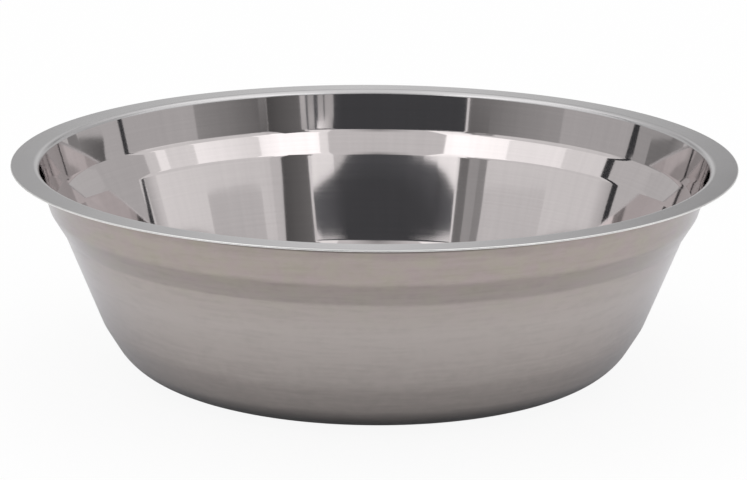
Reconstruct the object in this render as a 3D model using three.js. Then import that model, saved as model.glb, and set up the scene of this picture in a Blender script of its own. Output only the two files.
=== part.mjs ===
// A pressed stainless steel pet bowl with a rubber ring bonded under its base.
// Millimetres, +Z up. The origin is the centre of the circle that the bowl stands on.

import * as THREE from "three";

// Steel sheet
const SHEET_THICKNESS = 0.7;

// Rim: a flat flange with a trimmed, half-round edge, bent down into the mouth
const RIM_DIAMETER = 280;
const BOWL_HEIGHT = 82.2;
const FLANGE_WIDTH = 10.1;
const RIM_BEND_INSIDE = 1.8;

// Upper band: the near-upright wall below the flange
const BAND_HEIGHT = 16.3;
const BAND_DRAFT_DEGREES = 17;

// Ledge: the sloping shoulder below the band
const LEDGE_HEIGHT = 8.7;
const LEDGE_DRAFT_DEGREES = 31.3;
const LEDGE_TOP_BEND_INSIDE = 8.5;
const LEDGE_FOOT_BEND_INSIDE = 8;

// Lower wall, the heel where it turns further in, and the wide bend into the base
const WALL_DRAFT_DEGREES = 21.75;
const HEEL_HEIGHT = 20;
const HEEL_DRAFT_DEGREES = 31;
const HEEL_BEND_INSIDE = 20;
const BASE_BEND_INSIDE = 23;

// Base: a standing band round a centre panel that is pressed up to take the ring
const STANDING_BAND_WIDTH = 12;
const PANEL_RISE = 1.5;
const PANEL_STEP_DEGREES = 45;
const PANEL_BEND_INSIDE = 0.8;

// Rubber ring, located by the panel's step and glued to its underside
const RING_WIDTH = 13;
const RING_PROUD = 1;
const RING_EDGE_ROUND = 0.6;
const RING_CLEARANCE = 0.4;
const GLUE_LINE = 0.15;

// Smoothness of the turned surfaces
const TURN_SEGMENTS = 72;
const ARC_STEP_DEGREES = 15;
const EDGE_ARC_STEPS = 4;

const steel = new THREE.MeshStandardMaterial({
  color: 0xb4b0ac,
  roughness: 0.28,
  metalness: 1,
});
const rubber = new THREE.MeshStandardMaterial({
  color: 0x1d1d1f,
  roughness: 0.9,
  metalness: 0,
});

const halfSheet = SHEET_THICKNESS / 2;
const radians = THREE.MathUtils.degToRad;

// How far inwards a wall runs on its way down, at a draft measured from the upright
function inwardRun(height, draftDegrees) {
  return height * Math.tan(radians(draftDegrees));
}

// The radius of the middle of the sheet in a bend
function middleRadius(bendInside) {
  return bendInside + halfSheet;
}

// A corner of the sheet's middle line, with the inside radius of the bend there
function corner(radius, height, bendInside) {
  return { point: new THREE.Vector2(radius, height), bendInside };
}

// The corners of the sheet's middle line, from the axis out to the flange's edge
function middleLineCorners() {
  const rimLevel = BOWL_HEIGHT - halfSheet;
  const baseLevel = RING_PROUD + halfSheet;
  const panelLevel = baseLevel + PANEL_RISE;

  const mouthRadius = RIM_DIAMETER / 2 - FLANGE_WIDTH;
  const ledgeTopLevel = rimLevel - BAND_HEIGHT;
  const ledgeTopRadius = mouthRadius - inwardRun(BAND_HEIGHT, BAND_DRAFT_DEGREES);
  const ledgeFootLevel = ledgeTopLevel - LEDGE_HEIGHT;
  const ledgeFootRadius = ledgeTopRadius - inwardRun(LEDGE_HEIGHT, LEDGE_DRAFT_DEGREES);

  const heelLevel = baseLevel + HEEL_HEIGHT;
  const heelRadius = ledgeFootRadius - inwardRun(ledgeFootLevel - heelLevel, WALL_DRAFT_DEGREES);
  const baseCornerRadius = heelRadius - inwardRun(HEEL_HEIGHT, HEEL_DRAFT_DEGREES);
  const baseTurn = radians(90 - HEEL_DRAFT_DEGREES);
  const baseBendReach = middleRadius(BASE_BEND_INSIDE) * Math.tan(baseTurn / 2);
  const stepFootRadius = baseCornerRadius - baseBendReach - STANDING_BAND_WIDTH;
  const stepTopRadius = stepFootRadius - PANEL_RISE / Math.tan(radians(PANEL_STEP_DEGREES));

  return [
    corner(0, panelLevel, 0),
    corner(stepTopRadius, panelLevel, PANEL_BEND_INSIDE),
    corner(stepFootRadius, baseLevel, PANEL_BEND_INSIDE),
    corner(baseCornerRadius, baseLevel, BASE_BEND_INSIDE),
    corner(heelRadius, heelLevel, HEEL_BEND_INSIDE),
    corner(ledgeFootRadius, ledgeFootLevel, LEDGE_FOOT_BEND_INSIDE),
    corner(ledgeTopRadius, ledgeTopLevel, LEDGE_TOP_BEND_INSIDE),
    corner(mouthRadius, rimLevel, RIM_BEND_INSIDE),
    corner(RIM_DIAMETER / 2 - halfSheet, rimLevel, 0),
  ];
}

// The normal on the left of a direction, which is the sheet's upper and inner side
function leftNormal(direction) {
  return new THREE.Vector2(-direction.y, direction.x);
}

// Points along one bend, each with the sheet's normal there
function bendStations(before, bend, after) {
  const arriving = bend.point.clone().sub(before.point).normalize();
  const leaving = after.point.clone().sub(bend.point).normalize();
  const turn = Math.atan2(arriving.cross(leaving), arriving.dot(leaving));
  const side = Math.sign(turn);
  const radius = middleRadius(bend.bendInside);
  const reach = radius * Math.tan(Math.abs(turn) / 2);
  const start = bend.point.clone().addScaledVector(arriving, -reach);
  const centre = start.clone().addScaledVector(leftNormal(arriving), side * radius);
  const steps = Math.max(2, Math.ceil(Math.abs(turn) / radians(ARC_STEP_DEGREES)));
  const stations = [];
  for (let step = 0; step <= steps; step += 1) {
    const normal = leftNormal(arriving).rotateAround(new THREE.Vector2(), (turn * step) / steps);
    const point = centre.clone().addScaledVector(normal, -side * radius);
    stations.push({ point, normal });
  }
  return stations;
}

// Points along the whole middle line: straight runs between bends
function middleLineStations() {
  const corners = middleLineCorners();
  const last = corners.length - 1;
  const up = new THREE.Vector2(0, 1);
  const stations = [{ point: corners[0].point, normal: up }];
  for (let index = 1; index < last; index += 1) {
    stations.push(...bendStations(corners[index - 1], corners[index], corners[index + 1]));
  }
  stations.push({ point: corners[last].point, normal: up });
  return stations;
}

// One skin of the sheet, offset from its middle line
function skin(stations, offset) {
  return stations.map(({ point, normal }) => point.clone().addScaledVector(normal, offset));
}

// Points of an arc about a centre, with its two ends left out
function arcBetween(centre, radius, fromAngle, toAngle, steps) {
  const points = [];
  for (let step = 1; step < steps; step += 1) {
    const angle = fromAngle + ((toAngle - fromAngle) * step) / steps;
    const spoke = new THREE.Vector2(Math.cos(angle), Math.sin(angle));
    points.push(centre.clone().addScaledVector(spoke, radius));
  }
  return points;
}

// Turns a profile of radius and height about the bowl's axis
function turned(profile) {
  return new THREE.LatheGeometry(profile, TURN_SEGMENTS).rotateX(Math.PI / 2);
}

function named(name, geometry, material) {
  const mesh = new THREE.Mesh(geometry, material);
  mesh.name = name;
  return mesh;
}

// The pressing: underside from the axis out, round the trimmed edge, and back along the top
function steelBowl() {
  const stations = middleLineStations();
  const edgeCentre = stations[stations.length - 1].point;
  const underside = skin(stations, -halfSheet);
  const edge = arcBetween(edgeCentre, halfSheet, -Math.PI / 2, Math.PI / 2, EDGE_ARC_STEPS);
  const inside = skin(stations, halfSheet).reverse();
  return named("steel_bowl", turned([...underside, ...edge, ...inside]), steel);
}

// Where the panel's flat underside ends, at the start of the bend into its step
function panelFlatRadius() {
  const [, stepTop] = middleLineCorners();
  const turn = radians(PANEL_STEP_DEGREES);
  return stepTop.point.x - middleRadius(PANEL_BEND_INSIDE) * Math.tan(turn / 2);
}

// The rubber ring: flat faces, with rounded edges where it meets the floor
function footRing() {
  const outer = panelFlatRadius() - RING_CLEARANCE;
  const inner = outer - RING_WIDTH;
  const top = RING_PROUD + PANEL_RISE - GLUE_LINE;
  const quarter = Math.PI / 2;
  const innerRound = new THREE.Vector2(inner + RING_EDGE_ROUND, RING_EDGE_ROUND);
  const outerRound = new THREE.Vector2(outer - RING_EDGE_ROUND, RING_EDGE_ROUND);
  const profile = [
    new THREE.Vector2(inner, top),
    new THREE.Vector2(inner, RING_EDGE_ROUND),
    ...arcBetween(innerRound, RING_EDGE_ROUND, -2 * quarter, -quarter, EDGE_ARC_STEPS),
    new THREE.Vector2(inner + RING_EDGE_ROUND, 0),
    new THREE.Vector2(outer - RING_EDGE_ROUND, 0),
    ...arcBetween(outerRound, RING_EDGE_ROUND, -quarter, 0, EDGE_ARC_STEPS),
    new THREE.Vector2(outer, RING_EDGE_ROUND),
    new THREE.Vector2(outer, top),
    new THREE.Vector2(inner, top),
  ];
  return named("foot_ring", turned(profile), rubber);
}

const bowl = new THREE.Group();
bowl.name = "pet_bowl";
bowl.add(steelBowl(), footRing());

export default bowl;
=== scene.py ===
import math
from typing import NamedTuple

import bpy
from mathutils import Matrix, Vector


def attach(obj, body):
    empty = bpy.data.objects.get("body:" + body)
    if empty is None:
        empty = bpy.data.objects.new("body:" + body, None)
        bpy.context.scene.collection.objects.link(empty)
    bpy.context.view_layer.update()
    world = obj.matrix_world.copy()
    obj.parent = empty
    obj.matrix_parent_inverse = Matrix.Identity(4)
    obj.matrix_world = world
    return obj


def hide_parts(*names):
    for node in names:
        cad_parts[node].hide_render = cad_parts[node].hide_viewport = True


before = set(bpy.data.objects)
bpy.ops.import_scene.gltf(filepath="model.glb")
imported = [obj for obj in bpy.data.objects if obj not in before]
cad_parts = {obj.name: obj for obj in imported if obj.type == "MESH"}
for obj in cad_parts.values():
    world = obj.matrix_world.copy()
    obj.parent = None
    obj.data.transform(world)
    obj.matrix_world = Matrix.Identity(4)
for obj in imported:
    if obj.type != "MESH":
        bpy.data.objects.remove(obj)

# Metres, +Z up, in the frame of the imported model. Bowl sizes are in millimetres, as in its source.
MM = 0.001

# Steel bowl
SHEET_THICKNESS = 0.7
HALF_SHEET = SHEET_THICKNESS / 2
RIM_DIAMETER = 280
BOWL_HEIGHT = 82.2
FLANGE_WIDTH = 10.1
RIM_BEND_INSIDE = 1.8
BAND_HEIGHT = 16.3
BAND_DRAFT_DEGREES = 17
LEDGE_HEIGHT = 8.7
LEDGE_DRAFT_DEGREES = 31.3
LEDGE_TOP_BEND_INSIDE = 8.5
LEDGE_FOOT_BEND_INSIDE = 8
WALL_DRAFT_DEGREES = 21.75
HEEL_HEIGHT = 20
HEEL_DRAFT_DEGREES = 31
HEEL_BEND_INSIDE = 20
BASE_BEND_INSIDE = 23
STANDING_BAND_WIDTH = 12
PANEL_RISE = 1.5
PANEL_STEP_DEGREES = 45
PANEL_BEND_INSIDE = 0.8

# Rubber ring
RING_WIDTH = 13
RING_PROUD = 1
RING_EDGE_ROUND = 0.6
RING_CLEARANCE = 0.4
GLUE_LINE = 0.15
RING_TOP_ROUND = 0.2

# Smoothness of the turned surfaces
TURN_SEGMENTS = 192
ARC_STEP_DEGREES = 4
FEWEST_ARC_STEPS = 6
EDGE_ARC_STEPS = 10

# The flange's satin finish runs into the mouth's bend, down to normals of this slope
SATIN_SLOPE = 0.33

# Camera
PHOTO_WIDTH = 747
FOCAL_PIXELS = 3232
SENSOR_WIDTH_MM = 36
CAMERA_DISTANCE = 1.25
CAMERA_ELEVATION_DEGREES = 13.075
CAMERA_ROLL_DEGREES = 0.38
CAMERA_AIM = Vector((-0.0002, 0, 0.0497))

# Plain colours
BLACK = (0, 0, 0, 1)
WHITE = (1, 1, 1, 1)

# Each finish runs between two colours. The outside has a pair for its lower part, a pair for its upper part
# and a cooler sheen at low angles.
POLISHED_TINTS = ((0.587, 0.549, 0.55, 1), (0.699, 0.652, 0.649, 1))
SATIN_TINTS = ((0.56, 0.55, 0.555, 1), (0.63, 0.615, 0.62, 1))
# The edge's colours are lighter than steel's, a painted highlight along the trimmed edge
EDGE_TINTS = ((0.88, 0.87, 0.86, 1), (0.96, 0.95, 0.94, 1))
LOWER_TINTS = ((0.585, 0.53, 0.515, 1), (0.57, 0.53, 0.505, 1))
UPPER_TINTS = ((0.43, 0.365, 0.36, 1), (0.42, 0.383, 0.335, 1))
BRUSHED_SHEEN = (0.86, 0.88, 0.92, 1)
RUBBER_TINTS = ((0.022, 0.022, 0.024, 1), (0.045, 0.045, 0.046, 1))

# Heights on the outside between which the lower colours pass into the upper ones
UPPER_FROM = 0.044
UPPER_FULL = 0.068

# Light
LOW_SKY_LIGHT = 0.68
HIGH_SKY_LIGHT = 1.85
HIGH_SKY_FROM = 0.78
HIGH_SKY_FULL = 0.92
FLOOR_SIZE = 12
FLOOR_COLOUR = (0.93, 0.93, 0.93, 1)
FLOOR_WHITE_SEEN = 0.92
FLOOR_WHITE_MIRRORED = 0.03

# Light tent: how far its walls stand from the axis, how high its top is, and the step between layers
TENT_FRONT = 0.62
TENT_BACK = 0.65
TENT_SIDE = 0.66
TENT_TOP = 1.15
TENT_LAYER = 0.003

# Cards no brighter than this show the unlit room, which is cooler than the cloth
ROOM_GLOW = 0.15
ROOM_COLOUR = (0.89, 0.93, 1, 1)
CLOTH_COLOUR = WHITE


class Card(NamedTuple):
    """A piece of cloth on one side of the tent, whose light and shade are painted as glow. Cards on higher
    layers hang in front of lower ones.
    """

    wall: str
    layer: int
    glow: tuple
    outline: list


# Glows are strengths at four corners: low first, low last, high first and high last along the wall.


def even(glow):
    return (glow, glow, glow, glow)


def sideways(first, last):
    return (first, last, first, last)


def upward(low, high):
    return (low, low, high, high)


# Outlines are corners: distances along the wall and heights, or distances along X and Y on the top.


def block(first, last, low, high):
    return [(first, low), (last, low), (last, high), (first, high)]


def leaning(first, last, first_top, last_top):
    """A card that stands on the floor and has a sloping top."""
    return [(first, 0), (last, 0), (last, last_top), (first, first_top)]


# The bent border that the right flap shares with the fold beside it, from the floor up
FOLD_BORDER = [(0.584, 0), (0.584, 0.46), (0.564, 0.53), (0.546, 0.56)]

# The cloth that the polished inside mirrors
TENT_CARDS = {
    "front": Card("front", 0, even(0.76), block(-0.66, 0.66, 0, 1.15)),
    "front_right_fade": Card(
        "front", 1, even(1.12), [(0.2, 0.45), (0.66, 0.45), (0.66, 1.15), (0.3, 1.15)]
    ),
    "front_right_light": Card(
        "front", 2, even(1.62), [(0.3, 0.78), (0.66, 0.78), (0.66, 1.15), (0.36, 1.15)]
    ),
    "front_left_light": Card(
        "front", 2, upward(1.2, 1.68), [(-0.66, 0.45), (-0.231, 0.45), (-0.493, 1.15), (-0.66, 1.15)]
    ),
    "opening_fade_left": Card("front", 1, (0.76, 0.25, 0.76, 0.76), block(-0.22, -0.02, 0.45, 0.95)),
    "opening_fade_right": Card("front", 1, (0.25, 0.76, 0.76, 0.76), block(-0.02, 0.15, 0.45, 0.95)),
    "opening": Card(
        "front",
        3,
        even(0.077),
        [
            (-0.472, 0),
            (0.335, 0),
            (0.335, 0.4885),
            (0.2, 0.482),
            (0, 0.504),
            (-0.2, 0.4975),
            (-0.42, 0.512),
            (-0.472, 0.5165),
        ],
    ),
    "opening_haze_right": Card("front", 4, (0.077, 0.14, 0.08, 0.15), block(0.15, 0.325, 0.36, 0.482)),
    "opening_haze_left": Card("front", 4, sideways(0.15, 0.08), block(-0.47, -0.33, 0.43, 0.505)),
    "opening_haze_high": Card(
        "front",
        4,
        upward(0.077, 0.145),
        [(-0.33, 0.465), (0.15, 0.462), (0.15, 0.4865), (0, 0.504), (-0.2, 0.4975), (-0.33, 0.5075)],
    ),
    "right_sill": Card(
        "front", 5, even(1.0), [(0.14, 0.42), (0.333, 0.43), (0.333, 0.4525), (0.29, 0.4395)]
    ),
    "left_sill": Card(
        "front", 5, even(1.0), [(-0.47, 0.448), (-0.18, 0.42), (-0.31, 0.441), (-0.47, 0.4735)]
    ),
    "bar_foot": Card("front", 6, sideways(0.45, 1.35), block(0.19, 0.268, 0.35, 0.3665)),
    "bar_1": Card("front", 5, upward(0.6, 0.42), block(0.186, 0.228, 0.365, 0.415)),
    "bar_2": Card("front", 5, upward(0.65, 0.32), block(0.234, 0.261, 0.365, 0.415)),
    "bar_3": Card("front", 5, upward(0.65, 0.32), block(0.281, 0.313, 0.365, 0.415)),
    "right_post": Card(
        "front",
        5,
        upward(0.55, 1.15),
        [(0.322, 0.36), (0.355, 0.36), (0.355, 0.41), (0.343, 0.42), (0.354, 0.56), (0.337, 0.56)],
    ),
    "left_post": Card("front", 5, upward(0.9, 1.15), block(-0.48, -0.464, 0.36, 0.58)),
    "right_flap": Card(
        "front",
        3,
        sideways(0.195, 0.09),
        [(0.335, 0), *FOLD_BORDER, (0.535, 0.82), (0.335, 0.64)],
    ),
    "right_fold": Card(
        "front", 3, even(0.71), [(0.66, 0), (0.66, 0.74), (0.539, 0.74), *reversed(FOLD_BORDER)]
    ),
    "right_fold_low": Card("front", 4, upward(0.1, 0.3), block(0.584, 0.66, 0.38, 0.455)),
    "left_flap": Card("front", 3, even(0.215), leaning(-0.56, -0.472, 0.62, 0.6)),
    "left_fold": Card("front", 3, even(0.42), block(-0.66, -0.56, 0, 0.76)),
    "left_fold_low": Card("front", 4, upward(0.16, 0.26), block(-0.66, -0.495, 0.38, 0.455)),
    "right_high_front": Card("right", 0, sideways(1.6, 1.42), block(-0.62, -0.42, 0, 1.15)),
    "right_high": Card("right", 0, sideways(1.02, 1.33), block(-0.42, -0.01, 0, 1.15)),
    "right_high_inner": Card("right", 0, even(0.97), block(-0.01, 0.145, 0, 1.15)),
    "right_high_streak": Card("right", 0, even(1.22), block(0.145, 0.2, 0, 1.15)),
    "right_high_end": Card("right", 0, even(0.84), block(0.2, 0.265, 0, 1.15)),
    "right_high_back": Card("right", 0, even(0.57), block(0.265, 0.65, 0, 0.7)),
    "right_top_back": Card("right", 0, even(0.92), block(0.265, 0.65, 0.7, 1.15)),
    "right_between": Card("right", 1, even(0.84), leaning(-0.62, 0.2, 0.86, 0.46)),
    "right_middle": Card(
        "right",
        2,
        sideways(0.8, 0.96),
        [(-0.62, 0), (0.225, 0), (0.225, 0.295), (0.03, 0.345), (-0.26, 0.445), (-0.62, 0.61)],
    ),
    "right_middle_low": Card(
        "right", 3, even(0.67), [(-0.5, 0), (-0.12, 0), (-0.12, 0.355), (-0.26, 0.408), (-0.5, 0.508)]
    ),
    "right_low_front": Card("right", 4, sideways(0.18, 0.36), leaning(-0.62, -0.165, 0.485, 0.333)),
    "right_low": Card("right", 4, even(0.545), leaning(-0.165, 0.235, 0.333, 0.228)),
    "right_seam": Card("right", 5, even(0.06), block(0.235, 0.265, 0, 0.236)),
    "right_seam_high": Card(
        "right", 5, even(0.06), [(0.238, 0.236), (0.264, 0.236), (0.23, 0.295), (0.221, 0.295)]
    ),
    "right_middle_end": Card("right", 3, sideways(0.85, 0.56), leaning(0.15, 0.225, 0.312, 0.293)),
    "right_shade": Card(
        "right",
        2,
        sideways(0.13, 0.25),
        [(0.395, 0.186), (0.42, 0.17), (0.46, 0.1), (0.65, 0.1), (0.65, 0.148)],
    ),
    "left_high_front": Card("left", 0, sideways(1.62, 1.5), block(-0.62, -0.28, 0, 1.15)),
    "left_high": Card("left", 0, even(1.2), block(-0.28, 0.045, 0, 1.15)),
    "left_high_inner": Card("left", 0, even(0.96), block(0.045, 0.3, 0, 1.15)),
    "left_high_back": Card("left", 0, even(0.65), block(0.3, 0.65, 0, 0.7)),
    "left_top_back": Card("left", 0, even(0.96), block(0.3, 0.65, 0.7, 1.15)),
    "left_between": Card("left", 1, even(0.82), leaning(-0.62, 0.3, 0.86, 0.41)),
    "left_middle": Card(
        "left",
        2,
        even(0.84),
        [(-0.56, 0), (0.3, 0), (0.3, 0.28), (0.03, 0.345), (-0.26, 0.445), (-0.56, 0.582)],
    ),
    "left_middle_low": Card(
        "left", 3, even(0.74), [(-0.536, 0), (-0.1, 0), (-0.1, 0.352), (-0.26, 0.408), (-0.536, 0.525)]
    ),
    "left_flap_end": Card(
        "left",
        3,
        even(0.33),
        [(-0.62, 0), (-0.536, 0), (-0.536, 0.585), (-0.5, 0.585), (-0.5, 0.64), (-0.62, 0.7)],
    ),
    "left_middle_end": Card("left", 3, sideways(0.8, 0.55), leaning(0.19, 0.28, 0.303, 0.283)),
    "left_low_front": Card("left", 4, sideways(0.24, 0.43), leaning(-0.62, -0.12, 0.485, 0.318)),
    "left_low": Card("left", 4, even(0.53), leaning(-0.12, 0.28, 0.318, 0.224)),
    "left_seam": Card(
        "left", 5, even(0.05), [(0.262, 0.185), (0.322, 0.185), (0.322, 0.75), (0.268, 0.75), (0.28, 0.212)]
    ),
    "left_low_back": Card("left", 1, even(0.43), block(0.322, 0.65, 0, 0.21)),
    "left_shade": Card("left", 2, even(0.23), leaning(0.435, 0.65, 0.18, 0.149)),
    "back": Card("back", 0, even(0.61), block(-0.66, 0.66, 0, 1.15)),
    "back_left_shade": Card("back", 1, sideways(0.22, 0.36), block(-0.66, -0.45, 0, 0.15)),
    "back_right_shade": Card("back", 1, even(0.28), block(0.48, 0.66, 0, 0.146)),
    "back_left_light": Card("back", 1, (0.36, 0.76, 0.27, 0.75), block(-0.3, -0.015, 0.17, 0.4)),
    "back_right_light": Card("back", 1, (0.78, 0.55, 0.76, 0.0), block(-0.015, 0.24, 0.17, 0.36)),
    "back_high": Card("back", 1, upward(0.54, 1.0), block(-0.66, 0.66, 0.4, 1.15)),
    "top_left": Card("top", 0, sideways(1.4, 0.85), block(-0.66, 0, -0.62, 0.65)),
    "top_right": Card("top", 0, sideways(0.85, 1.4), block(0, 0.66, -0.62, 0.65)),
}

# Where Blender's Mix node keeps its factor and its two colours, and the mixed colour
COLOUR_MIX_INPUTS = (0, 6, 7)
COLOUR_MIX_OUTPUT = 2


# Shape


def inward_run(height, draft_degrees):
    return height * math.tan(math.radians(draft_degrees))


def middle_radius(bend_inside):
    return bend_inside + HALF_SHEET


def middle_line_corners():
    """Corners of the sheet's middle line from the axis out: radius, height and the bend's inside radius."""
    rim = BOWL_HEIGHT - HALF_SHEET
    base = RING_PROUD + HALF_SHEET
    panel = base + PANEL_RISE
    mouth = RIM_DIAMETER / 2 - FLANGE_WIDTH
    ledge_top = rim - BAND_HEIGHT
    ledge_top_radius = mouth - inward_run(BAND_HEIGHT, BAND_DRAFT_DEGREES)
    ledge_foot = ledge_top - LEDGE_HEIGHT
    ledge_foot_radius = ledge_top_radius - inward_run(LEDGE_HEIGHT, LEDGE_DRAFT_DEGREES)
    heel = base + HEEL_HEIGHT
    heel_radius = ledge_foot_radius - inward_run(ledge_foot - heel, WALL_DRAFT_DEGREES)
    base_corner_radius = heel_radius - inward_run(HEEL_HEIGHT, HEEL_DRAFT_DEGREES)
    base_turn = math.radians(90 - HEEL_DRAFT_DEGREES)
    base_bend_reach = middle_radius(BASE_BEND_INSIDE) * math.tan(base_turn / 2)
    step_foot_radius = base_corner_radius - base_bend_reach - STANDING_BAND_WIDTH
    step_top_radius = step_foot_radius - PANEL_RISE / math.tan(math.radians(PANEL_STEP_DEGREES))
    return [
        (0, panel, 0),
        (step_top_radius, panel, PANEL_BEND_INSIDE),
        (step_foot_radius, base, PANEL_BEND_INSIDE),
        (base_corner_radius, base, BASE_BEND_INSIDE),
        (heel_radius, heel, HEEL_BEND_INSIDE),
        (ledge_foot_radius, ledge_foot, LEDGE_FOOT_BEND_INSIDE),
        (ledge_top_radius, ledge_top, LEDGE_TOP_BEND_INSIDE),
        (mouth, rim, RIM_BEND_INSIDE),
        (RIM_DIAMETER / 2 - HALF_SHEET, rim, 0),
    ]


def left_normal(direction):
    return Vector((-direction.y, direction.x))


def rotated(vector, angle):
    return Matrix.Rotation(angle, 2) @ vector


def bend_stations(before, corner, after):
    """Points along one bend of the middle line, each with the sheet's normal there."""
    at = Vector(corner[:2])
    arriving = (at - Vector(before[:2])).normalized()
    leaving = (Vector(after[:2]) - at).normalized()
    turn = math.atan2(arriving.x * leaving.y - arriving.y * leaving.x, arriving.dot(leaving))
    side = math.copysign(1, turn)
    radius = middle_radius(corner[2])
    start = at - arriving * radius * math.tan(abs(turn) / 2)
    centre = start + left_normal(arriving) * side * radius
    steps = max(FEWEST_ARC_STEPS, math.ceil(math.degrees(abs(turn)) / ARC_STEP_DEGREES))
    normals = [rotated(left_normal(arriving), turn * step / steps) for step in range(steps + 1)]
    return [(centre - normal * side * radius, normal) for normal in normals]


def middle_line_stations():
    corners = middle_line_corners()
    up = Vector((0, 1))
    stations = [(Vector(corners[0][:2]), up)]
    for before, corner, after in zip(corners, corners[1:], corners[2:]):
        stations += bend_stations(before, corner, after)
    return stations + [(Vector(corners[-1][:2]), up)]


def arc(centre, radius, from_degrees, to_degrees, steps):
    """Points of an arc with their outward normals."""
    points = []
    for step in range(steps + 1):
        angle = math.radians(from_degrees + (to_degrees - from_degrees) * step / steps)
        normal = Vector((math.cos(angle), math.sin(angle)))
        points.append((centre + normal * radius, normal))
    return points


def turned(name, rows, materials):
    """A mesh turned about +Z from rows of point, normal and material that end on the axis or close up."""
    vertices, normals, rings = [], [], []
    for point, normal, _ in rows:
        on_axis = point.x == 0
        rings.append((len(vertices), on_axis))
        for turn in range(1 if on_axis else TURN_SEGMENTS):
            angle = 2 * math.pi * turn / TURN_SEGMENTS
            cosine, sine = math.cos(angle), math.sin(angle)
            vertices.append((point.x * cosine * MM, point.x * sine * MM, point.y * MM))
            normals.append((normal.x * cosine, normal.x * sine, normal.y))
    faces, slots = [], []
    for row in range(len(rows) - 1):
        (first, first_pole), (second, second_pole) = rings[row], rings[row + 1]
        for turn in range(TURN_SEGMENTS):
            after = (turn + 1) % TURN_SEGMENTS
            near = [first] if first_pole else [first + turn, first + after]
            far = [second] if second_pole else [second + after, second + turn]
            faces.append(near + far)
            slots.append(rows[row][2])
    mesh = bpy.data.meshes.new(name)
    mesh.from_pydata(vertices, [], faces)
    for material in materials:
        mesh.materials.append(material)
    mesh.polygons.foreach_set("material_index", slots)
    mesh.polygons.foreach_set("use_smooth", [True] * len(faces))
    mesh.normals_split_custom_set_from_vertices(normals)
    mesh.validate()
    piece = bpy.data.objects.new(name, mesh)
    bpy.context.collection.objects.link(piece)
    return piece


def bowl_rows():
    """The pressing's section: its underside from the axis out, its trimmed edge, and back along its top."""
    outside, edge, rim, inside = range(4)
    stations = middle_line_stations()
    rows = [(point - normal * HALF_SHEET, -normal, outside) for point, normal in stations[:-1]]
    edge_arc = arc(stations[-1][0], HALF_SHEET, -90, 90, EDGE_ARC_STEPS)
    rows += [(point, normal, edge) for point, normal in edge_arc]
    rows[-1] = (*rows[-1][:2], rim)
    satin_foot = BOWL_HEIGHT - BAND_HEIGHT / 2
    for point, normal in reversed(stations[:-1]):
        satin = point.y > satin_foot and normal.y > SATIN_SLOPE
        rows.append((point + normal * HALF_SHEET, normal, rim if satin else inside))
    return rows


def ring_rows():
    """The rubber ring's section, a closed loop with rounded corners."""
    panel_turn = math.radians(PANEL_STEP_DEGREES)
    step_top_radius = middle_line_corners()[1][0]
    outer = step_top_radius - middle_radius(PANEL_BEND_INSIDE) * math.tan(panel_turn / 2) - RING_CLEARANCE
    inner = outer - RING_WIDTH
    top = RING_PROUD + PANEL_RISE - GLUE_LINE
    low, high = RING_EDGE_ROUND, RING_TOP_ROUND
    section = arc(Vector((inner + low, low)), low, -180, -90, EDGE_ARC_STEPS)
    section += arc(Vector((outer - low, low)), low, -90, 0, EDGE_ARC_STEPS)
    section += arc(Vector((outer - high, top - high)), high, 0, 90, EDGE_ARC_STEPS)
    section += arc(Vector((inner + high, top - high)), high, 90, 180, EDGE_ARC_STEPS)
    section.append(section[0])
    return [(point, normal, 0) for point, normal in section]


# Materials


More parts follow.
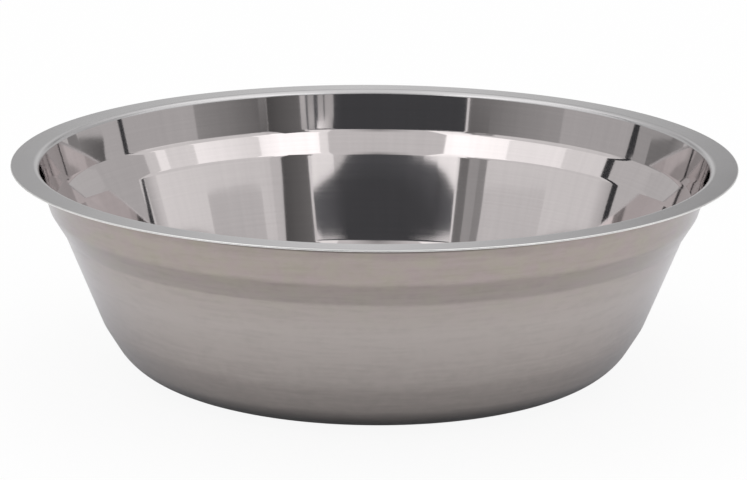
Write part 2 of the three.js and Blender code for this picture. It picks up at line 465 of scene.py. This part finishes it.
class Shader:
    """The node tree of a material or world, with short calls for the nodes that are used here."""

    def __init__(self, owner):
        self.owner = owner
        owner.use_nodes = True
        self.tree = owner.node_tree
        self.surface = self.tree.nodes.get("Principled BSDF")

    def node(self, kind, inputs=None, **settings):
        made = self.tree.nodes.new(kind)
        for setting, value in settings.items():
            setattr(made, setting, value)
        for socket, value in (inputs or {}).items():
            self.put(made.inputs[socket], value)
        return made

    def put(self, socket, value):
        if isinstance(value, bpy.types.NodeSocket):
            self.tree.links.new(value, socket)
        else:
            socket.default_value = value

    def set(self, **values):
        for socket, value in values.items():
            self.put(self.surface.inputs[socket.replace("_", " ")], value)

    def math(self, operation, first, second=0.0):
        return self.node("ShaderNodeMath", {0: first, 1: second}, operation=operation).outputs[0]

    def vector(self, operation, first, second=(0, 0, 0)):
        made = self.node("ShaderNodeVectorMath", {0: first, 1: second}, operation=operation)
        return made.outputs["Value" if operation == "LENGTH" else "Vector"]

    def object_point(self):
        return self.node("ShaderNodeTexCoord").outputs["Object"]

    def round_the_axis(self, around, across):
        """Coordinates that run slowly round the bowl and fast across its turning marks."""
        point = self.object_point()
        flat = self.vector("MULTIPLY", point, (1, 1, 0))
        spoke = self.vector("SCALE", self.vector("NORMALIZE", flat))
        spoke.node.inputs["Scale"].default_value = around
        height = self.node("ShaderNodeSeparateXYZ", {0: point}).outputs["Z"]
        along = self.math("ADD", self.vector("LENGTH", flat), height)
        lift = self.node("ShaderNodeCombineXYZ", {"Z": self.math("MULTIPLY", along, across)}).outputs[0]
        return self.vector("ADD", spoke, lift)

    def noise(self, vector, scale, detail, roughness=0.5):
        inputs = {"Vector": vector, "Scale": scale, "Detail": detail, "Roughness": roughness}
        return self.node("ShaderNodeTexNoise", inputs).outputs["Fac"]

    def turning_marks(self, around, across, detail, roughness=0.5):
        return self.noise(self.round_the_axis(around, across), 1.0, detail, roughness)

    def range(self, value, low, high, from_low=0.0, from_high=1.0):
        made = self.node("ShaderNodeMapRange", {"Value": value, "To Min": low, "To Max": high})
        self.put(made.inputs["From Min"], from_low)
        self.put(made.inputs["From Max"], from_high)
        return made.outputs["Result"]

    def blend(self, share, first, second):
        made = self.node("ShaderNodeMix", data_type="RGBA")
        factor, start, end = (made.inputs[index] for index in COLOUR_MIX_INPUTS)
        self.put(factor, share)
        self.put(start, first)
        self.put(end, second)
        return made.outputs[COLOUR_MIX_OUTPUT]

    def bump(self, height, depth, strength=1.0, normal=None):
        inputs = {"Height": height, "Distance": depth, "Strength": strength}
        if normal is not None:
            inputs["Normal"] = normal
        return self.node("ShaderNodeBump", inputs).outputs["Normal"]


def polished_steel():
    """The mirror-polished inside, with slight waves, faint turning lines and polishing streaks."""
    shader = Shader(bpy.data.materials.new("steel_polished_inside"))
    point = shader.object_point()
    lines = shader.turning_marks(around=1.5, across=900, detail=3)
    streaks = shader.turning_marks(around=40, across=12, detail=3)
    grain = shader.math("MULTIPLY", shader.math("ADD", lines, streaks), 0.5)
    waves = shader.bump(shader.noise(point, scale=26, detail=1), depth=0.00007)
    shader.set(
        Base_Color=shader.blend(grain, *POLISHED_TINTS),
        Metallic=1.0,
        Roughness=shader.range(lines, low=0.035, high=0.06),
        Normal=shader.bump(lines, depth=0.0000004, normal=waves),
    )
    return shader.owner


def satin_steel():
    """The flange: smooth, with a soft sheen."""
    shader = Shader(bpy.data.materials.new("steel_satin_flange"))
    point = shader.object_point()
    lines = shader.turning_marks(around=2.5, across=1500, detail=3)
    cloud = shader.noise(point, scale=45, detail=4)
    shader.set(
        Base_Color=shader.blend(cloud, *SATIN_TINTS),
        Metallic=1.0,
        Roughness=shader.range(lines, low=0.14, high=0.24),
        Normal=shader.bump(lines, depth=0.000001),
    )
    return shader.owner


def edge_steel():
    """The trimmed edge of the flange, with fine marks along it. Its colour is lighter than steel's: a
    painted highlight.
    """
    shader = Shader(bpy.data.materials.new("steel_trimmed_edge"))
    marks = shader.turning_marks(around=30, across=2500, detail=3)
    shader.set(
        Base_Color=shader.blend(marks, *EDGE_TINTS),
        Metallic=1.0,
        Roughness=shader.range(marks, low=0.08, high=0.14),
        Normal=shader.bump(marks, depth=0.000002),
    )
    return shader.owner


def outside_shade(shader, height):
    """The share of its colour that the outside keeps: painted shade, less under the flange for its shadow
    and near the base for the floor's contact shadow that the outside mirrors.
    """
    # Painted shadow of the flange: a dark line and a soft darkening just under it
    corner = shader.range(height, low=1.0, high=0.3, from_low=0.0780, from_high=0.0787)
    under = shader.range(height, low=1.0, high=0.86, from_low=0.0745, from_high=0.0785)
    # Painted shade towards the base, standing for the mirrored contact shadow on the floor
    heel = shader.range(height, low=0.8, high=1.0, from_low=0.008, from_high=0.034)
    foot = shader.range(height, low=0.4, high=1.0, from_low=0.005, from_high=0.011)
    top = shader.math("MULTIPLY", corner, under)
    return shader.math("MULTIPLY", top, shader.math("MULTIPLY", heel, foot))


def brushed_steel():
    """The outside: brushed round the bowl, streaked and blotched, darker and browner above the ledge's
    foot, with painted shade under the flange and near the base.
    """
    shader = Shader(bpy.data.materials.new("steel_brushed_outside"))
    point = shader.object_point()
    lines = shader.turning_marks(around=3, across=1800, detail=4, roughness=0.6)
    streaks = shader.turning_marks(around=6, across=450, detail=5, roughness=0.7)
    warmth = shader.turning_marks(around=14, across=130, detail=4, roughness=0.6)
    mottle = shader.noise(point, scale=300, detail=3)
    height = shader.node("ShaderNodeSeparateXYZ", {0: point}).outputs["Z"]
    above = shader.range(height, low=0.0, high=1.0, from_low=UPPER_FROM, from_high=UPPER_FULL)
    lower = shader.blend(warmth, *LOWER_TINTS)
    patches = shader.range(warmth, low=0.0, high=1.0, from_low=0.35, from_high=0.65)
    upper = shader.blend(patches, *UPPER_TINTS)
    streak_shade = shader.range(streaks, low=0.9, high=1.08, from_low=0.25, from_high=0.75)
    marks = shader.math("MULTIPLY", streak_shade, shader.range(mottle, low=0.92, high=1.08))
    # Painted shade under the flange and near the base, times the streaks and mottle of the brushing
    shade = shader.math("MULTIPLY", outside_shade(shader, height), marks)
    shader.set(
        Base_Color=shader.blend(shade, BLACK, shader.blend(above, lower, upper)),
        Metallic=1.0,
        Specular_Tint=BRUSHED_SHEEN,
        Roughness=shader.range(lines, low=0.18, high=0.30),
        Anisotropic=0.5,
        Anisotropic_Rotation=0.25,
        Tangent=shader.node("ShaderNodeTangent", direction_type="RADIAL", axis="Z").outputs[0],
        Normal=shader.bump(lines, depth=0.000004),
    )
    return shader.owner


def black_rubber():
    """The non-skid ring: matt, with a fine moulded grain and a little bloom."""
    shader = Shader(bpy.data.materials.new("rubber_ring"))
    point = shader.object_point()
    grain = shader.noise(point, scale=1600, detail=3)
    bloom = shader.noise(point, scale=70, detail=4)
    shader.set(
        Base_Color=shader.blend(bloom, *RUBBER_TINTS),
        Roughness=shader.range(bloom, low=0.72, high=0.9),
        Normal=shader.bump(grain, depth=0.00006, strength=0.6),
    )
    return shader.owner


# Studio


def seeing_rays(shader):
    """Two sockets: 1 for rays straight from the camera, and 1 for mirrored rays or rays through glass."""
    path = shader.node("ShaderNodeLightPath").outputs
    return path["Is Camera Ray"], shader.math("MAXIMUM", path["Is Glossy Ray"], path["Is Transmission Ray"])


def white_world():
    """White where it is seen. Its light comes mostly from overhead, as from a wide soft box."""
    world = bpy.data.worlds.new("studio_world")
    bpy.context.scene.world = world
    shader = Shader(world)
    direction = shader.node("ShaderNodeTexCoord").outputs["Generated"]
    upward = shader.node("ShaderNodeSeparateXYZ", {0: direction}).outputs["Z"]
    light = shader.range(upward, LOW_SKY_LIGHT, HIGH_SKY_LIGHT, HIGH_SKY_FROM, HIGH_SKY_FULL)
    seen = shader.math("MAXIMUM", *seeing_rays(shader))
    strength = shader.node("ShaderNodeMix", {"Factor": seen, "A": light, "B": 1.0})
    background = shader.tree.nodes["Background"]
    shader.put(background.inputs["Color"], WHITE)
    shader.put(background.inputs["Strength"], strength.outputs["Result"])


def staged(name, corners):
    mesh = bpy.data.meshes.new(name)
    mesh.from_pydata(corners, [], [range(len(corners))])
    made = bpy.data.objects.new(name, mesh)
    bpy.context.collection.objects.link(made)
    return made


def white_floor():
    """A pale floor that keeps the bowl's shadow. Part of it is plain white where it is seen or mirrored."""
    half = FLOOR_SIZE / 2
    floor = staged("studio_floor", [(-half, -half, 0), (half, -half, 0), (half, half, 0), (-half, half, 0)])
    shader = Shader(bpy.data.materials.new("studio_floor_white"))
    shader.set(Base_Color=FLOOR_COLOUR, Roughness=0.9, Specular_IOR_Level=0.1)
    seen, mirrored = seeing_rays(shader)
    seen_white = shader.math("MULTIPLY", seen, FLOOR_WHITE_SEEN)
    mirrored_white = shader.math("MULTIPLY", mirrored, FLOOR_WHITE_MIRRORED)
    white = shader.math("MAXIMUM", seen_white, mirrored_white)
    glow = shader.node("ShaderNodeEmission", {"Color": WHITE, "Strength": 1.0}).outputs[0]
    mixed = shader.node("ShaderNodeMixShader", {0: white, 1: shader.surface.outputs[0], 2: glow}).outputs[0]
    shader.put(shader.tree.nodes["Material Output"].inputs["Surface"], mixed)
    floor.data.materials.append(shader.owner)


def tent_point(card, first, second):
    """Where a corner of a card's outline lies. Higher layers stand further in."""
    step = TENT_LAYER * card.layer
    return {
        "front": (first, -TENT_FRONT + step, second),
        "back": (first, TENT_BACK - step, second),
        "left": (-TENT_SIDE + step, first, second),
        "right": (TENT_SIDE - step, first, second),
        "top": (first, second, TENT_TOP - step),
    }[card.wall]


def glow_material(name, card):
    """A surface that only glows, fading between the strengths at the card's four corners."""
    shader = Shader(bpy.data.materials.new(name))
    generated = shader.node("ShaderNodeTexCoord").outputs["Generated"]
    share = shader.node("ShaderNodeSeparateXYZ", {0: generated}).outputs
    along = share["Y" if card.wall in ("left", "right") else "X"]
    low_first, low_last, high_first, high_last = card.glow
    low = shader.range(along, low_first, low_last)
    high = shader.range(along, high_first, high_last)
    colour = ROOM_COLOUR if max(card.glow) <= ROOM_GLOW else CLOTH_COLOUR
    shader.set(Base_Color=BLACK, Specular_IOR_Level=0.0, Emission_Color=colour)
    shader.set(Emission_Strength=shader.range(share["Z"], low, high))
    return shader.owner


def light_tent():
    """Cloth walls and a top round the bowl, open towards the camera, lit and shaded only by painted glow.
    Only reflections show them.
    """
    for card_name, card in TENT_CARDS.items():
        name = "tent_" + card_name
        cloth = staged(name, [tent_point(card, *corner) for corner in card.outline])
        cloth.data.materials.append(glow_material(name, card))
        cloth.visible_camera = False
        cloth.visible_diffuse = False
        cloth.visible_shadow = False


def photo_camera():
    data = bpy.data.cameras.new("photo_camera")
    data.sensor_fit = "HORIZONTAL"
    data.sensor_width = SENSOR_WIDTH_MM
    data.lens = FOCAL_PIXELS / PHOTO_WIDTH * SENSOR_WIDTH_MM
    camera = bpy.data.objects.new("photo_camera", data)
    lift = math.radians(CAMERA_ELEVATION_DEGREES)
    rim_centre = Vector((0, 0, BOWL_HEIGHT * MM))
    camera.location = rim_centre + Vector((0, -math.cos(lift), math.sin(lift))) * CAMERA_DISTANCE
    looking = (CAMERA_AIM - camera.location).to_track_quat("-Z", "Y").to_matrix()
    roll = Matrix.Rotation(math.radians(CAMERA_ROLL_DEGREES), 3, "Z")
    camera.rotation_euler = (looking @ roll).to_euler()
    bpy.context.collection.objects.link(camera)
    bpy.context.scene.camera = camera


# Making


def pet_bowl():
    finishes = [brushed_steel(), edge_steel(), satin_steel(), polished_steel()]
    bowl = turned("pressed_bowl", bowl_rows(), finishes)
    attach(bowl, "root")
    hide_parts("steel_bowl")
    ring = turned("non_skid_ring", ring_rows(), [black_rubber()])
    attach(ring, "root")
    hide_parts("foot_ring")


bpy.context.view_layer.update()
photo_camera()
pet_bowl()
white_world()
white_floor()
light_tent()
bpy.context.scene.view_settings.view_transform = "Standard"
